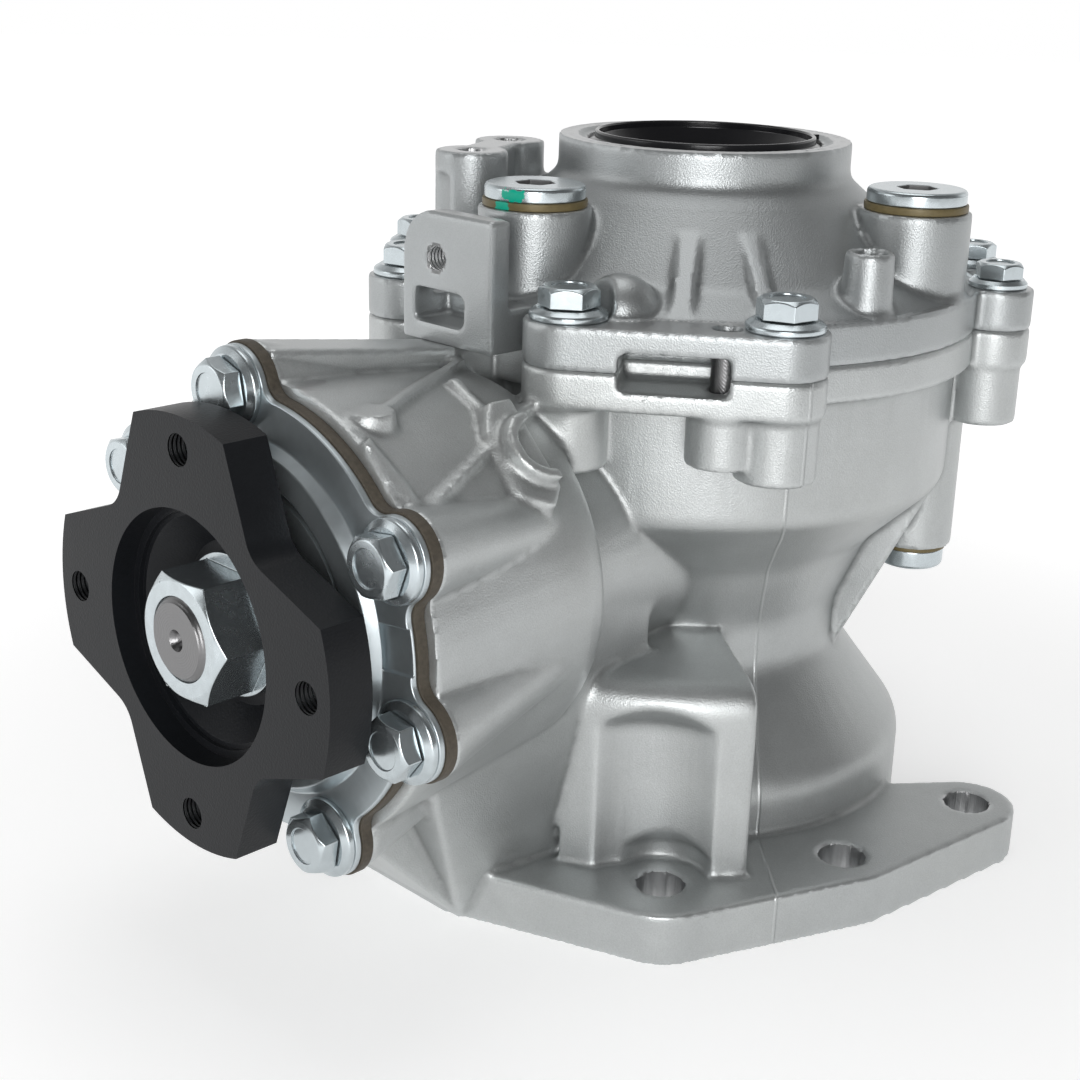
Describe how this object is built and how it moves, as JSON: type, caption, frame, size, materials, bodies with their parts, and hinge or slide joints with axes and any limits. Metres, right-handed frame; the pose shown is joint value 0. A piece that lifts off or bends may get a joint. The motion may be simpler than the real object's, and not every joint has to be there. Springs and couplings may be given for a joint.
{
  "type": "transfer case",
  "caption": "Right-angle bevel gear transfer case: cast housing, bolted cover, hollow splined input shaft and a side pinion shaft with a four-arm output flange",
  "frame": {"origin": "centre of the pilot recess in the mounting face, on the input axis, with the mounting face at z = 0", "axes": "+Z along the input shaft from the mounting face to the collar, -X along the pinion shaft to the output flange, +Y completes the right-handed frame"},
  "size_m": [0.3152, 0.2202, 0.2198],
  "materials": {
    "cast_case": "blasted light-grey casting with a fine grain",
    "cast_cover": "blasted light-grey casting, machined collar",
    "zinc": "bright bluish zinc plating",
    "steel": "ground and turned steel",
    "bearing": "polished bearing steel",
    "phosphate": "black phosphated forging, satin with a light grain",
    "iron": "dull brown machined iron",
    "seal_washer": "olive-brown sealing washer",
    "black_rubber": "smooth black seal rubber"
  },
  "bodies": {
    "housing": {"main_case": "cast_case", "case_cover": "cast_cover", "cover_bolts": "zinc", "rear_cover_bolts": "zinc", "plate_bolts": "zinc", "dowel_pins": "steel", "filler_plug": "zinc", "level_plug": "zinc", "drain_plug": "zinc", "filler_washer": "seal_washer", "level_washer": "seal_washer", "drain_washer": "seal_washer", "collar_seal": "black_rubber", "lower_seal": "black_rubber", "output_seal": "black_rubber", "carrier_seal_ring": "black_rubber", "pinion_carrier": "iron", "retainer_plate": "zinc", "lower_shim": "steel", "head_bearing_cup": "bearing", "tail_bearing_cup": "bearing", "lower_bearing_cup": "bearing", "upper_bearing_cup": "bearing"},
    "pinion_set": {"output_flange": "phosphate", "flange_nut": "zinc", "dust_deflector": "zinc", "pinion_shaft": "steel", "pinion_spacer": "steel", "head_bearing_cone": "bearing", "tail_bearing_cone": "bearing"},
    "ring_set": {"input_shaft": "steel", "ring_gear": "steel", "ring_gear_bolts": "steel", "lower_bearing_cone": "bearing", "upper_bearing_cone": "bearing"},
    "head_rollers": {"head_bearing_rollers": "bearing"},
    "tail_rollers": {"tail_bearing_rollers": "bearing"},
    "lower_rollers": {"lower_bearing_rollers": "bearing"},
    "upper_rollers": {"upper_bearing_rollers": "bearing"}
  },
  "joints": [
    {"name": "ring_spin", "type": "hinge", "parent": "housing", "child": "ring_set", "pos_m": [0, 0, 0.104], "axis": [0, 0, 1], "continuous": true},
    {"name": "pinion_spin", "type": "hinge", "parent": "housing", "child": "pinion_set", "pos_m": [0, 0, 0.104], "axis": [-1, 0, 0], "continuous": true},
    {"name": "lower_rollers_spin", "type": "hinge", "parent": "housing", "child": "lower_rollers", "pos_m": [0, 0, 0.104], "axis": [0, 0, 1], "continuous": true},
    {"name": "upper_rollers_spin", "type": "hinge", "parent": "housing", "child": "upper_rollers", "pos_m": [0, 0, 0.104], "axis": [0, 0, 1], "continuous": true},
    {"name": "head_rollers_spin", "type": "hinge", "parent": "housing", "child": "head_rollers", "pos_m": [0, 0, 0.104], "axis": [-1, 0, 0], "continuous": true},
    {"name": "tail_rollers_spin", "type": "hinge", "parent": "housing", "child": "tail_rollers", "pos_m": [0, 0, 0.104], "axis": [-1, 0, 0], "continuous": true}
  ],
  "couplings": [
    {"joint": "pinion_spin", "follows": "ring_spin", "ratio": -2.4},
    {"joint": "lower_rollers_spin", "follows": "ring_spin", "ratio": 0.46},
    {"joint": "upper_rollers_spin", "follows": "ring_spin", "ratio": 0.46},
    {"joint": "head_rollers_spin", "follows": "ring_spin", "ratio": -1.104},
    {"joint": "tail_rollers_spin", "follows": "ring_spin", "ratio": -1.104}
  ]
}
